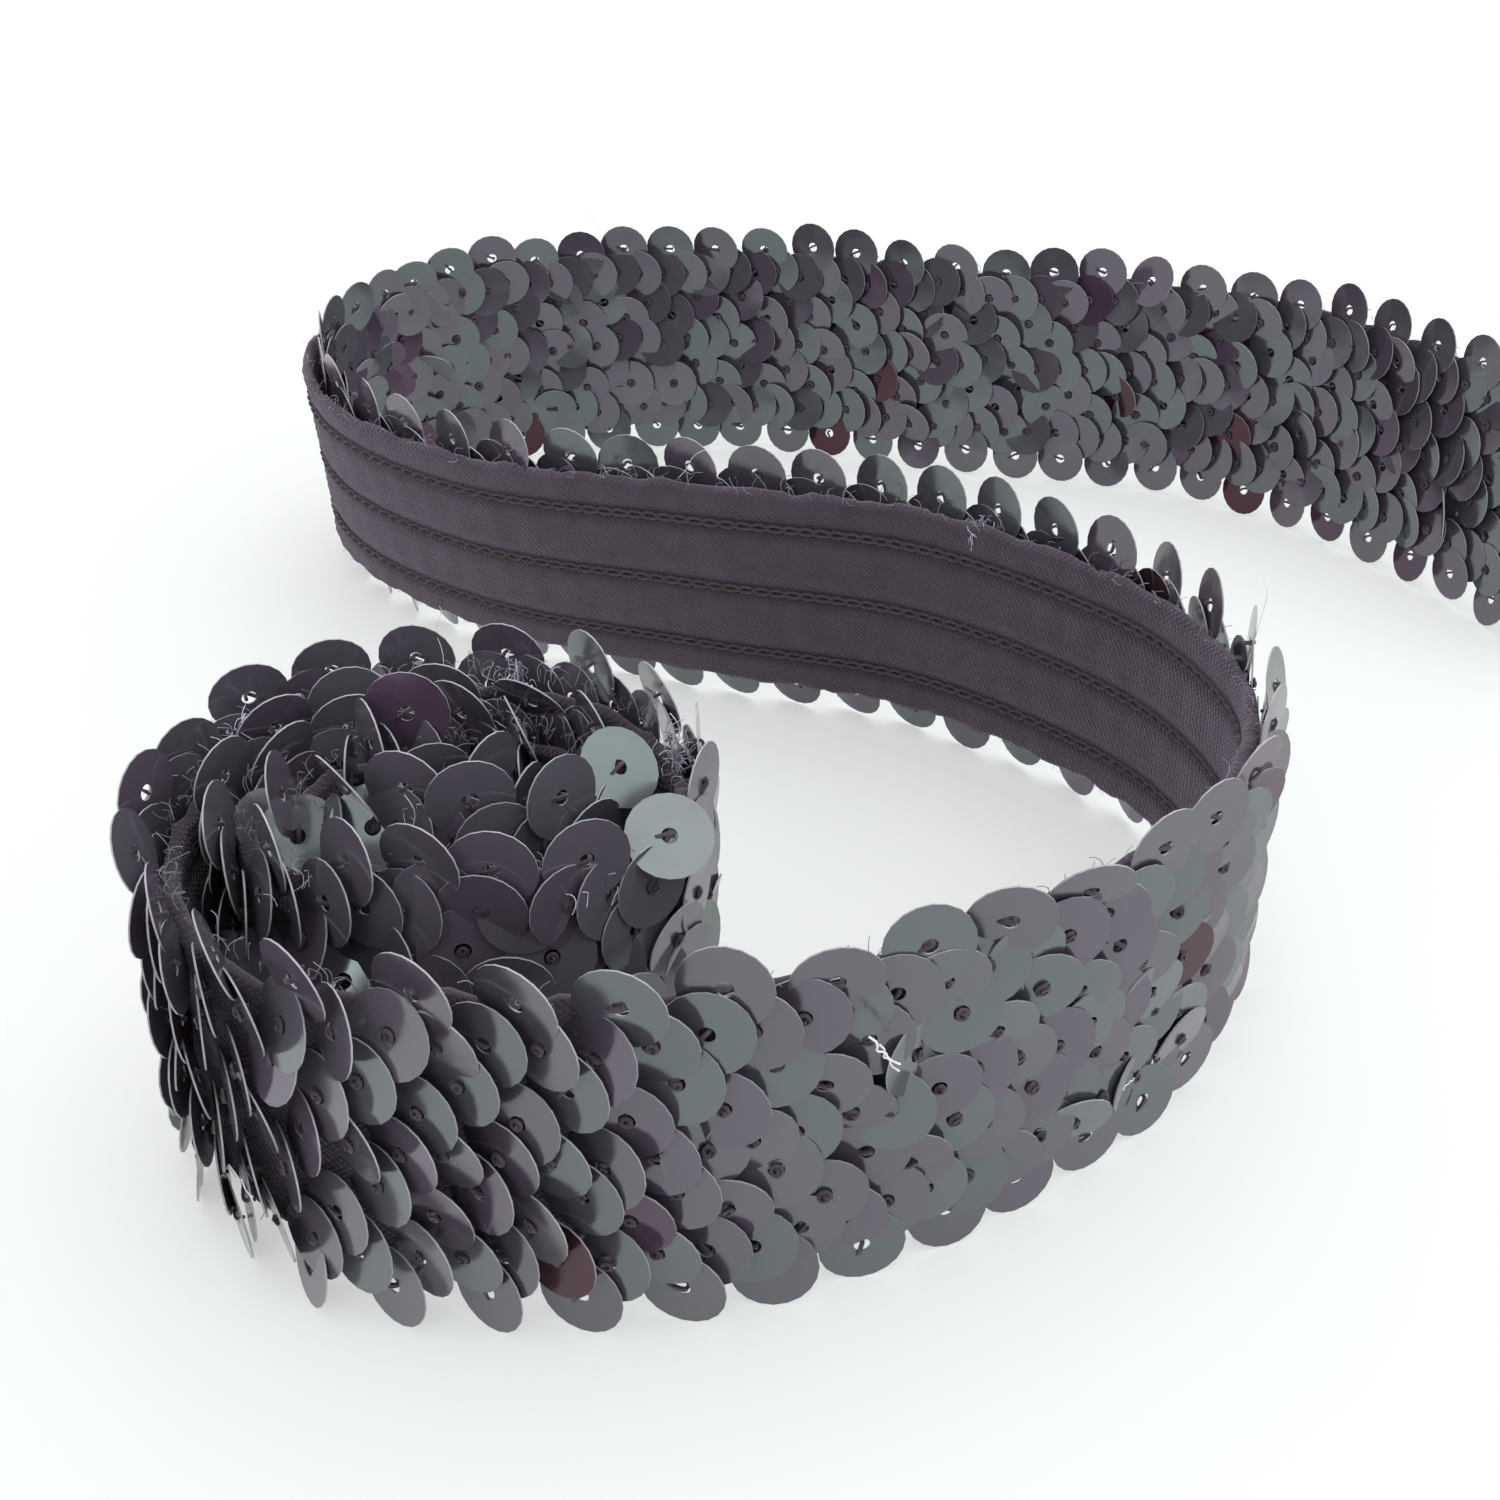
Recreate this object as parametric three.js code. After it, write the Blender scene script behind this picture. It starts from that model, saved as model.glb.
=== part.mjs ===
// Stretch sequin trim, 32 mm wide. One end is wound into a small roll that stands on its edge, and
// the rest stands on its edge too and runs away from the roll in an S, up to a plain cut end.
// Flat 6.4 mm sequins are sewn in three zigzag rows to one face of a ribbed elastic tape.
// Millimetres, +Z up, with the origin at the middle of the trim's box, on the surface it stands on.
import * as THREE from 'three';
import { mergeVertices } from 'three/addons/utils/BufferGeometryUtils.js';

// Sequins and the three rows that they are sewn in.
const SEQUIN_RADIUS = 3.2;
const SEQUIN_STEP = 1.62; // along the trim, from one sequin of a row to the next
const ROW_HEIGHTS = [6.6, 16.0, 25.4]; // middle of each row, up the trim's width
const ROW_NAMES = ['bottom', 'middle', 'top'];
const ZIGZAG_SWING = 3.4; // the holes lie this far above and below the middle of their row
const ZIGZAG_SEQUINS = 4; // sequins in one full zigzag

// The elastic tape, whose back has a groove along each line of stitches, where they pull it in.
const TAPE_THICK = 1.2;
const TAPE_LOW = 4.2;
const TAPE_HIGH = 27.8;
const GROOVE_HEIGHTS = [8.2, 16.0, 23.8];
const GROOVE_HALF = 1.6;
const GROOVE_DEEP = 0.35;
const TAPE_STEP = 4.0;

// How far the sequins stand off the middle of the tape's thickness.
const GAP = 0.3;
const ROW_BACK = TAPE_THICK / 2 + GAP;
const ROW_EDGE = ROW_BACK + 1.0;
const ROW_CREST = ROW_BACK + 2.3;
const ROW_BETWEEN = ROW_BACK + 1.9; // crest at the sequins half way up a zigzag
const ROW_HALF = (ROW_HEIGHTS[1] - ROW_HEIGHTS[0] - GAP) / 2; // room up to the next row

// The roll, a row for each quarter turn of the tape's foot, counted inwards from where the trim
// leaves it at the front. Radius is from a middle that moves towards the eye, turn by turn. Lean is
// in degrees, towards the tape's bare side at the top, and lift is how far the turn is pushed up.
const ROLL = { x: -37.0, y: -54.0, eyeX: -3.5, eyeY: 4.5, eyeTurns: 3, eyeHeight: 14.0 };
const FRONT = -90; // degrees
const QUARTERS = [
  { at: 'front', radius: 20.2, lean: 1, lift: 0 },
  { at: 'left', radius: 19.8, lean: 0, lift: 0 },
  { at: 'back', radius: 19.2, lean: -2, lift: 0 },
  { at: 'right', radius: 17.6, lean: 1, lift: 0 },
  { at: 'front', radius: 14.8, lean: 11, lift: 2 },
  { at: 'left', radius: 15.0, lean: 2, lift: 0 },
  { at: 'back', radius: 13.4, lean: 0, lift: -1 },
  { at: 'right', radius: 12.4, lean: 2, lift: 0 },
  { at: 'front', radius: 10.2, lean: 13, lift: 4 },
  { at: 'left', radius: 10.2, lean: 2, lift: 0 },
  { at: 'back', radius: 8.2, lean: -1, lift: -1 },
  { at: 'right', radius: 7.6, lean: 4, lift: 1 },
  { at: 'front', radius: 5.6, lean: 14, lift: 6 },
  { at: 'left', radius: 5.4, lean: 2, lift: 2 },
];
const ROLL_END = (QUARTERS.length - 1) / 4;
const ROLL_RINGS = 4; // turns crossed on the way in to the eye
const ROLL_STATIONS = 64; // in a whole turn
const EYE_BLEND = 0.2; // turns over which the inner end of the trim sinks into the eye

// Where the tape's foot stands. Lean is in degrees, towards the tape's bare side at the top.
const LOOSE = [
  { place: 'front pass', x: -23.0, y: -74.4, lean: 0 },
  { place: 'front pass turns', x: -7.4, y: -69.6, lean: -1 },
  { place: 'before the right bend', x: 8.8, y: -59.8, lean: -2 },
  { place: 'right bend starts', x: 20.8, y: -47.2, lean: -1 },
  { place: 'right bend', x: 25.6, y: -34.5, lean: 2 },
  { place: 'right bend ends', x: 22.8, y: -20.4, lean: 4 },
  { place: 'near pass starts', x: 15.2, y: -9.8, lean: 5 },
  { place: 'near pass', x: 1.5, y: 1.4, lean: 6 },
  { place: 'near pass middle', x: -20.5, y: 9.4, lean: 9 },
  { place: 'near pass ends', x: -43.5, y: 19.2, lean: 13 },
  { place: 'left bend starts', x: -60.0, y: 32.6, lean: 9 },
  { place: 'left bend', x: -67.2, y: 48.5, lean: 0 },
  { place: 'left bend ends', x: -62.0, y: 65.5, lean: -3 },
  { place: 'far pass starts', x: -49.5, y: 76.3, lean: -3 },
  { place: 'far pass', x: -29.5, y: 81.5, lean: -1 },
  { place: 'far pass middle', x: -7.5, y: 79.7, lean: 0 },
  { place: 'far pass dips', x: 14.5, y: 72.4, lean: -1 },
  { place: 'far pass swells', x: 36.5, y: 67.4, lean: 0 },
  { place: 'far pass turns', x: 53.0, y: 57.2, lean: 2 },
  { place: 'far pass falls', x: 65.0, y: 41.4, lean: 3 },
  { place: 'cut end', x: 77.5, y: 18.4, lean: 3 },
];
const CURVE_SAMPLES = 60; // plan points worked out between two rows of the table
const LEAD_IN = 8.0; // the curve starts this far back, to leave the roll straight
const DIRECTION_STEP = 0.5; // the trim's direction is taken over this length to each side

// The roll's solid, as sizes up the trim's width and off the tape's middle.
const TURN_FOOT = 1.4; // how far off the foot's outside lies
const FOOT_BEVEL = 0.6; // and how high the lowest sequins start over it
const TURN_VALLEY = 1.0; // how far off the wall lies between two rows
const GROOVE_HEIGHT = 25.0; // how high the groove between two turns lies
const GROOVE_INSIDE = -0.7; // its sides, off the outer turn and off the inner one
const GROOVE_OUTSIDE = 3.4;
const WIDE_GROOVE = 13.0; // it is this much deeper behind the front, where the turns part
const WIDE_GROOVE_TURNS = 0.22;
const WELD = 1e-3; // points nearer than this are one point

const MATERIALS = {
  tape: new THREE.MeshStandardMaterial({ color: 0x2a232c, roughness: 0.95, metalness: 0 }),
  sequins: new THREE.MeshStandardMaterial({ color: 0x17161a, roughness: 0.2, metalness: 0 }),
};

const radians = THREE.MathUtils.degToRad;

// The tape in the roll, at a number of turns in from where the trim leaves it.
const quarterCurve = new THREE.CatmullRomCurve3(
  QUARTERS.map((q) => new THREE.Vector3(q.radius, q.lean, q.lift)),
  false,
  'catmullrom',
);

function rollStation(turns) {
  const angle = radians(FRONT - 360 * turns);
  const inwards = Math.min(turns, ROLL_END) / ROLL.eyeTurns;
  const quarter = quarterCurve.getPoint(Math.min(1, turns / ROLL_END));
  const level = new THREE.Vector3(Math.cos(angle), Math.sin(angle), 0);
  const foot = new THREE.Vector3(ROLL.x, ROLL.y, quarter.z);
  foot.add(new THREE.Vector3(ROLL.eyeX, ROLL.eyeY, 0).multiplyScalar(inwards));
  foot.addScaledVector(level, quarter.x);
  return standing(foot, level, quarter.y);
}

// A place on the trim with its own directions, up its width and out of its sequin face. Its lowest
// edge stands at the foot's height.
function standing(foot, level, leanDegrees) {
  const lean = radians(leanDegrees);
  const up = new THREE.Vector3(0, 0, Math.cos(lean)).addScaledVector(level, -Math.sin(lean));
  const out = new THREE.Vector3(0, 0, Math.sin(lean)).addScaledVector(level, Math.cos(lean));
  foot.z -= Math.min(ROW_BACK * Math.sin(lean), ROW_EDGE * Math.sin(lean));
  return { foot, up, out };
}

// The loose length's line: a smooth curve through the table, started straight out of the roll. The
// curve's third coordinate carries the lean.
function loosePoints() {
  const start = rollStation(0).foot;
  const lean = QUARTERS[0].lean;
  const rows = [
    { x: start.x - LEAD_IN, y: start.y, lean },
    { x: start.x, y: start.y, lean },
    ...LOOSE,
  ];
  const curve = new THREE.CatmullRomCurve3(rows.map((r) => new THREE.Vector3(r.x, r.y, r.lean)));
  const spans = rows.length - 1;
  const points = [];
  for (let i = CURVE_SAMPLES; i <= spans * CURVE_SAMPLES; i += 1) {
    points.push(curve.getPoint(i / (spans * CURVE_SAMPLES)));
  }
  return points;
}

function planLengths(points) {
  const lengths = [0];
  for (let i = 1; i < points.length; i += 1) {
    const dx = points[i].x - points[i - 1].x;
    const dy = points[i].y - points[i - 1].y;
    lengths.push(lengths[i - 1] + Math.hypot(dx, dy));
  }
  return lengths;
}

// Stations at an even step along the loose length.
function looseStations(points, step) {
  const lengths = planLengths(points);
  const total = lengths[lengths.length - 1];
  const count = Math.round((total - GAP) / step);
  const pointAt = (s) => {
    let i = 1;
    while (i < points.length - 1 && lengths[i] < s) {
      i += 1;
    }
    const share = (s - lengths[i - 1]) / (lengths[i] - lengths[i - 1]);
    return points[i - 1].clone().lerp(points[i], share);
  };
  const made = [];
  for (let i = 0; i <= count; i += 1) {
    const s = GAP + ((total - GAP) * i) / count;
    const middle = pointAt(s);
    const before = pointAt(Math.max(0, s - DIRECTION_STEP));
    const after = pointAt(Math.min(total, s + DIRECTION_STEP));
    const level = new THREE.Vector3(after.y - before.y, before.x - after.x, 0).normalize();
    made.push(standing(new THREE.Vector3(middle.x, middle.y, 0), level, middle.z));
  }
  return made;
}

function place(station, [high, off]) {
  return station.foot.clone().addScaledVector(station.up, high).addScaledVector(station.out, off);
}

// One closed solid through a section at each station. A section is a closed loop of
// [up the width, off the tape's middle] points, as many at each station.
function sweep(line, sectionAt) {
  const sections = line.map(sectionAt);
  const count = sections[0].length;
  const position = [];
  sections.forEach((section, i) => {
    section.forEach((corner) => position.push(...place(line[i], corner).toArray()));
  });
  const index = [];
  for (let i = 0; i + 1 < line.length; i += 1) {
    for (let j = 0; j < count; j += 1) {
      const a = i * count + j;
      const b = i * count + ((j + 1) % count);
      index.push(a, b, b + count, a, b + count, a + count);
    }
  }
  const end = (line.length - 1) * count;
  const cap = (section) => {
    const loop = section.map(([high, off]) => new THREE.Vector2(high, off));
    return THREE.ShapeUtils.triangulateShape(loop, []);
  };
  cap(sections[0]).forEach(([a, b, c]) => index.push(a, c, b));
  cap(sections[line.length - 1]).forEach(([a, b, c]) => index.push(end + a, end + b, end + c));
  const geometry = new THREE.BufferGeometry();
  geometry.setAttribute('position', new THREE.Float32BufferAttribute(position, 3));
  geometry.setIndex(index);
  return geometry;
}

// Height of a sequin's hole off the middle of its row: up, half way, down, half way.
function holeHeight(sequin) {
  const beat = ((sequin % ZIGZAG_SEQUINS) + ZIGZAG_SEQUINS) % ZIGZAG_SEQUINS;
  return ZIGZAG_SWING * (1 - Math.abs(beat - ZIGZAG_SEQUINS / 2)) * -1;
}

// The edge that the row's round sequins reach at a place along it, above its middle, or below it with
// a side of -1. Towards the next row it stops half way, where the real sequins lap over each other.
function rowEdge(row, sequin, side) {
  const reach = Math.ceil(SEQUIN_RADIUS / SEQUIN_STEP);
  let edge = -Infinity;
  for (let j = sequin - reach; j <= sequin + reach; j += 1) {
    const along = (j - sequin) * SEQUIN_STEP;
    if (Math.abs(along) < SEQUIN_RADIUS) {
      const half = Math.sqrt(SEQUIN_RADIUS ** 2 - along ** 2);
      edge = Math.max(edge, side * holeHeight(j) + half);
    }
  }
  const hasNext = ROW_HEIGHTS[row + side] !== undefined;
  return side * (hasNext ? Math.min(edge, ROW_HALF) : edge);
}

function rowCrest(sequin) {
  return sequin % 2 === 0 ? ROW_CREST : ROW_BETWEEN;
}

// A row of sequins as one strip: scalloped edges, and a zigzag crest where the holes lie.
function rowSection(row, sequin) {
  const middle = ROW_HEIGHTS[row];
  const high = middle + rowEdge(row, sequin, 1);
  const low = middle + rowEdge(row, sequin, -1);
  return [
    [high, ROW_BACK],
    [high, ROW_EDGE],
    [middle + holeHeight(sequin), rowCrest(sequin)],
    [low, ROW_EDGE],
    [low, ROW_BACK],
  ];
}

function tapeSection() {
  const front = TAPE_THICK / 2;
  const section = [[TAPE_HIGH, front], [TAPE_LOW, front], [TAPE_LOW, -front]];
  GROOVE_HEIGHTS.forEach((middle) => {
    section.push([middle - GROOVE_HALF, -front]);
    section.push([middle, -front + GROOVE_DEEP]);
    section.push([middle + GROOVE_HALF, -front]);
  });
  section.push([TAPE_HIGH, -front]);
  return section;
}

function looseSequins(points, row) {
  return sweep(looseStations(points, SEQUIN_STEP), (station, sequin) => rowSection(row, sequin));
}

function looseTape(points) {
  return sweep(looseStations(points, TAPE_STEP), tapeSection);
}

// The three rows down the outside of the roll's outer turn, from its foot to its top.
function turnWall(sequin) {
  const wall = [];
  ROW_HEIGHTS.forEach((middle, row) => {
    const low = middle + rowEdge(row, sequin, -1);
    if (row > 0) {
      const under = ROW_HEIGHTS[row - 1] + rowEdge(row - 1, sequin, 1);
      wall.push([(under + low) / 2, TURN_VALLEY]);
    }
    wall.push([low + (row === 0 ? FOOT_BEVEL : 0), ROW_EDGE]);
    wall.push([middle + holeHeight(sequin), rowCrest(sequin)]);
    wall.push([middle + rowEdge(row, sequin, 1), ROW_EDGE]);
  });
  return wall;
}

// How deep the groove inside a turn is: deeper at the front, where the inner turns lean away.
function grooveHeight(turns) {
  const fromFront = Math.abs(turns);
  const wide = 1 - THREE.MathUtils.smoothstep(fromFront, 0, WIDE_GROOVE_TURNS);
  return GROOVE_HEIGHT - WIDE_GROOVE * wide;
}

// The points met on the way in from the outside of the roll's foot to its eye.
function rollProfile(turns, eye) {
  const outer = rollStation(turns);
  const sequin = Math.round(turns * ROLL_STATIONS);
  const foot = place(outer, [0, TURN_FOOT]).setZ(0);
  const points = [foot, ...turnWall(sequin).map((p) => place(outer, p))];
  points.push(place(outer, [TAPE_HIGH, -TAPE_THICK / 2]));
  for (let ring = 1; ring < ROLL_RINGS; ring += 1) {
    const at = turns + ring;
    const sink = THREE.MathUtils.smoothstep(at, ROLL_END, ROLL_END + EYE_BLEND);
    const groove = grooveHeight(at - 1);
    const [crest, top] = turnWall(sequin + ring * ROLL_STATIONS).slice(-2);
    const inner = [[groove, GROOVE_OUTSIDE], crest, top, [TAPE_HIGH, -TAPE_THICK / 2]];
    points.push(place(rollStation(at - 1), [groove, GROOVE_INSIDE]).lerp(eye, sink));
    points.push(...inner.map((p) => place(rollStation(at), p).lerp(eye, sink)));
  }
  points.push(eye);
  return points;
}

// The whole roll as one closed skin: its profile taken round one turn, the end of that turn closed
// where the trim leaves, and a flat foot.
function woundRoll() {
  const eye = new THREE.Vector3(ROLL.x + ROLL.eyeX, ROLL.y + ROLL.eyeY, ROLL.eyeHeight);
  const profiles = [];
  for (let i = 0; i <= ROLL_STATIONS; i += 1) {
    profiles.push(rollProfile(i / ROLL_STATIONS, eye));
  }
  const corners = [];
  const face = (a, b, c) => corners.push(...a.toArray(), ...b.toArray(), ...c.toArray());
  for (let i = 0; i < ROLL_STATIONS; i += 1) {
    const here = profiles[i];
    const next = profiles[i + 1];
    for (let j = 0; j + 1 < here.length; j += 1) {
      face(here[j], here[j + 1], next[j + 1]);
      face(here[j], next[j + 1], next[j]);
    }
  }
  const wallCrest = turnWall(0).length - 1;
  const nextCrest = profiles[0].findIndex((p) => p.distanceTo(profiles[ROLL_STATIONS][wallCrest]) < WELD);
  const end = profiles[0].slice(0, nextCrest + 1);
  end.push(...profiles[ROLL_STATIONS].slice(0, wallCrest).reverse());
  fill(end, (p) => new THREE.Vector2(p.y, p.z), face, 1);
  fill(profiles.map((profile) => profile[0]), (p) => new THREE.Vector2(p.x, p.y), face, -1);
  return weld(corners);
}

// A flat face over a closed loop of points, looking towards the flattened plane's own front, or
// towards its back with a facing of -1.
function fill(loop, flatten, face, facing) {
  const flat = loop.map(flatten);
  THREE.ShapeUtils.triangulateShape(flat, []).forEach(([a, b, c]) => {
    const front = new THREE.Vector2().subVectors(flat[b], flat[a]);
    const side = new THREE.Vector2().subVectors(flat[c], flat[a]);
    const flip = front.cross(side) * facing < 0;
    face(loop[a], loop[flip ? c : b], loop[flip ? b : c]);
  });
}

// One indexed skin from loose triangles, without those that have shrunk to nothing.
function weld(corners) {
  const loose = new THREE.BufferGeometry();
  loose.setAttribute('position', new THREE.Float32BufferAttribute(corners, 3));
  const joined = mergeVertices(loose, WELD);
  const index = joined.index.array;
  const kept = [];
  for (let i = 0; i < index.length; i += 3) {
    const [a, b, c] = index.slice(i, i + 3);
    if (a !== b && b !== c && a !== c) {
      kept.push(a, b, c);
    }
  }
  joined.setIndex(kept);
  return joined;
}

function piece(name, geometry, material) {
  geometry.computeVertexNormals();
  const mesh = new THREE.Mesh(geometry, material);
  mesh.name = name;
  return mesh;
}

// Brings the middle of the trim's box over the origin.
function centre(group) {
  const middle = new THREE.Box3().setFromObject(group).getCenter(new THREE.Vector3());
  group.children.forEach((mesh) => mesh.geometry.translate(-middle.x, -middle.y, 0));
}

const trim = new THREE.Group();
const loose = loosePoints();
trim.add(piece('wound_roll', woundRoll(), MATERIALS.sequins));
trim.add(piece('elastic_tape', looseTape(loose), MATERIALS.tape));
ROW_NAMES.forEach((name, row) => {
  trim.add(piece(`sequin_row_${name}`, looseSequins(loose, row), MATERIALS.sequins));
});
centre(trim);

export default trim;
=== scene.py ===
"""A stretch sequin trim, one end wound into a small roll and the rest standing on its edge in an S.

Makes the elastic tape, the sequins in their zigzag rows, the thread that holds them, the loose
fibres along the tape's edges, a few stray thread ends and the stage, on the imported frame. Metres,
+Z up. The trim's own tables are in millimetres, as a trim maker gives them, and become metres in
each mesh.
"""
import math

import bpy
import numpy as np
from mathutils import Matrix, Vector


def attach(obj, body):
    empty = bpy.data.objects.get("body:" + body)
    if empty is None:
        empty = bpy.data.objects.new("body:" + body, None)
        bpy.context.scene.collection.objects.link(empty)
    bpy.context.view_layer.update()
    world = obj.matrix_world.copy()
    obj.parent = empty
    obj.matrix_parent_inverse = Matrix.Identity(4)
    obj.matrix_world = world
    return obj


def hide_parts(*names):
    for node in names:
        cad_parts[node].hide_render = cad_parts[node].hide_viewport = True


bl_info = {
    "name": "Sequin trim",
    "version": (1, 0, 0),
    "blender": (4, 5, 0),
    "location": "View3D > Sidebar > Sequin trim",
    "description": "Builds a stretch sequin trim, part wound and part loose, on its packed frame",
    "category": "Object",
}

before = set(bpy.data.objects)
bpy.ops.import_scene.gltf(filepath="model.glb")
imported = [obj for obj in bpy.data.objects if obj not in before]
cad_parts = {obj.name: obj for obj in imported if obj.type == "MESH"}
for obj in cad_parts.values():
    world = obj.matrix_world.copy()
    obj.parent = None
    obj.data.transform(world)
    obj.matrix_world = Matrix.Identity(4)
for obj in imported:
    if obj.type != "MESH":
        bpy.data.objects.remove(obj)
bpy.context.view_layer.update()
BODY = "root"
MM = 0.001

# The trim's width, its three rows of sequins and its tape, in millimetres.
ROW_HEIGHTS = (6.6, 16.0, 25.4)
ROW_NAMES = ("bottom", "middle", "top")
ZIGZAG_SEQUINS = 4
TAPE_THICK = 1.2
TAPE_LOW = 4.2
TAPE_HIGH = 27.8
GROOVE_HEIGHTS = (8.2, 16.0, 23.8)
GAP = 0.3  # between the solids
ROW_BACK = TAPE_THICK / 2 + GAP
ROW_EDGE = ROW_BACK + 1.0

# Middle of the trim's box, which the frame has over its origin, in the coordinates of the tables.
BOX_MIDDLE = (5.661251, 2.192204)

# The roll, a row for each quarter turn of the tape's foot, counted inwards from where the trim
# leaves it at the front: radius, lean in degrees towards the bare side, and lift off the floor.
ROLL = {"x": -37.0, "y": -54.0, "eye_x": -3.5, "eye_y": 4.5, "eye_turns": 3}
FRONT = -90.0
QUARTERS = (
    ("front", 20.2, 1, 0),
    ("left", 19.8, 0, 0),
    ("back", 19.2, -2, 0),
    ("right", 17.6, 1, 0),
    ("front", 14.8, 11, 2),
    ("left", 15.0, 2, 0),
    ("back", 13.4, 0, -1),
    ("right", 12.4, 2, 0),
    ("front", 10.2, 13, 4),
    ("left", 10.2, 2, 0),
    ("back", 8.2, -1, -1),
    ("right", 7.6, 4, 1),
    ("front", 5.6, 14, 6),
    ("left", 5.4, 2, 2),
)
ROLL_TURNS = (len(QUARTERS) - 1) / 4

# Where the loose tape's foot stands: x, y and lean in degrees towards the bare side.
LOOSE = (
    ("front pass", -23.0, -74.4, 0),
    ("front pass turns", -7.4, -69.6, -1),
    ("before the right bend", 8.8, -59.8, -2),
    ("right bend starts", 20.8, -47.2, -1),
    ("right bend", 25.6, -34.5, 2),
    ("right bend ends", 22.8, -20.4, 4),
    ("near pass starts", 15.2, -9.8, 5),
    ("near pass", 1.5, 1.4, 6),
    ("near pass middle", -20.5, 9.4, 9),
    ("near pass ends", -43.5, 19.2, 13),
    ("left bend starts", -60.0, 32.6, 9),
    ("left bend", -67.2, 48.5, 0),
    ("left bend ends", -62.0, 65.5, -3),
    ("far pass starts", -49.5, 76.3, -3),
    ("far pass", -29.5, 81.5, -1),
    ("far pass middle", -7.5, 79.7, 0),
    ("far pass dips", 14.5, 72.4, -1),
    ("far pass swells", 36.5, 67.4, 0),
    ("far pass turns", 53.0, 57.2, 2),
    ("far pass falls", 65.0, 41.4, 3),
    ("cut end", 77.5, 18.4, 3),
)
LEAD_IN = 8.0  # a point this far back in the roll's direction starts the loose curve straight
SAMPLES = 60  # points of the line between two rows of a table


def catmull_rom(rows, at, chord_power):
    """Points of a smooth curve through rows, at places counted in rows from the first.

    A chord power of 0 gives every span the same weight, and 0.5 makes the curve centripetal.
    """
    rows = np.asarray(rows, float)
    ends = np.vstack([2 * rows[0] - rows[1], rows, 2 * rows[-1] - rows[-2]])
    span = np.minimum(np.floor(at).astype(int), len(rows) - 2)
    p0, p1, p2, p3 = (ends[span + i] for i in range(4))
    t = (at - span)[:, None]

    def chord(a, b):
        return np.linalg.norm(b - a, axis=1, keepdims=True) ** chord_power

    d0, d1, d2 = chord(p0, p1), chord(p1, p2), chord(p2, p3)
    start = ((p1 - p0) / d0 - (p2 - p0) / (d0 + d1) + (p2 - p1) / d1) * d1
    end = ((p2 - p1) / d1 - (p3 - p1) / (d1 + d2) + (p3 - p2) / d2) * d1
    square = -3 * p1 + 3 * p2 - 2 * start - end
    cube = 2 * p1 - 2 * p2 + start + end
    return p1 + start * t + square * t**2 + cube * t**3


def roll_line():
    """Foot and lean of the trim in the roll, from its inner end out to where it leaves."""
    turns = np.linspace(ROLL_TURNS, 0, int(ROLL_TURNS * 4 * SAMPLES) + 1)
    radius, lean, lift = catmull_rom([row[1:] for row in QUARTERS], turns * 4, 0).T
    angle = np.radians(FRONT - 360 * turns)
    inwards = turns / ROLL["eye_turns"]
    level = np.stack([np.cos(angle), np.sin(angle), np.zeros_like(angle)], axis=1)
    middle = np.stack(
        [ROLL["x"] + ROLL["eye_x"] * inwards, ROLL["y"] + ROLL["eye_y"] * inwards, lift], axis=1
    )
    return middle + level * radius[:, None], level, lean


def loose_line():
    """Foot and lean of the loose trim, from where it leaves the roll to its cut end."""
    start = (ROLL["x"], ROLL["y"] - QUARTERS[0][1], QUARTERS[0][2])
    rows = [(start[0] - LEAD_IN, *start[1:]), start, *[row[1:] for row in LOOSE]]
    at = np.linspace(1, len(rows) - 1, (len(rows) - 2) * SAMPLES + 1)
    x, y, lean = catmull_rom(rows, at, 0.5).T
    level = np.stack([np.gradient(y), -np.gradient(x), np.zeros_like(x)], axis=1)
    level /= np.linalg.norm(level, axis=1, keepdims=True)
    return np.stack([x, y, np.zeros_like(x)], axis=1), level, lean


class TrimLine:
    """The trim from its inner end to its cut end, read by distance along it.

    The distance is 0 where the trim leaves the roll, below 0 in the roll, in millimetres.
    """

    def __init__(self):
        wound, loose = roll_line(), loose_line()
        foot, level = (np.vstack([wound[i], loose[i][1:]]) for i in range(2))
        lean = np.radians(np.concatenate([wound[2], loose[2][1:]]))[:, None]
        raised = np.array([0.0, 0.0, 1.0])
        self.up = raised * np.cos(lean) - level * np.sin(lean)
        self.out = raised * np.sin(lean) + level * np.cos(lean)
        lowered = np.minimum(ROW_BACK * np.sin(lean), ROW_EDGE * np.sin(lean))
        foot = foot - raised * lowered
        step = np.hypot(*np.diff(foot[:, :2], axis=0).T)
        self.length = np.concatenate([[0.0], np.cumsum(step)])
        self.length -= self.length[len(wound[0]) - 1]
        self.foot = foot - np.array([*BOX_MIDDLE, 0.0])

    def at(self, s):
        """Foot, up, out and along at each distance, the last three of length 1."""
        s = np.asarray(s, float)

        def read(values):
            return np.stack([np.interp(s, self.length, values[:, i]) for i in range(3)], axis=1)

        foot, up, out = read(self.foot), read(self.up), read(self.out)
        up /= np.linalg.norm(up, axis=1, keepdims=True)
        along = np.cross(up, out)
        along /= np.linalg.norm(along, axis=1, keepdims=True)
        out = np.cross(along, up)
        return foot, up, out, along


LINE = TrimLine()
INNER_END = LINE.length[0]
CUT_END = LINE.length[-1]


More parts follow.
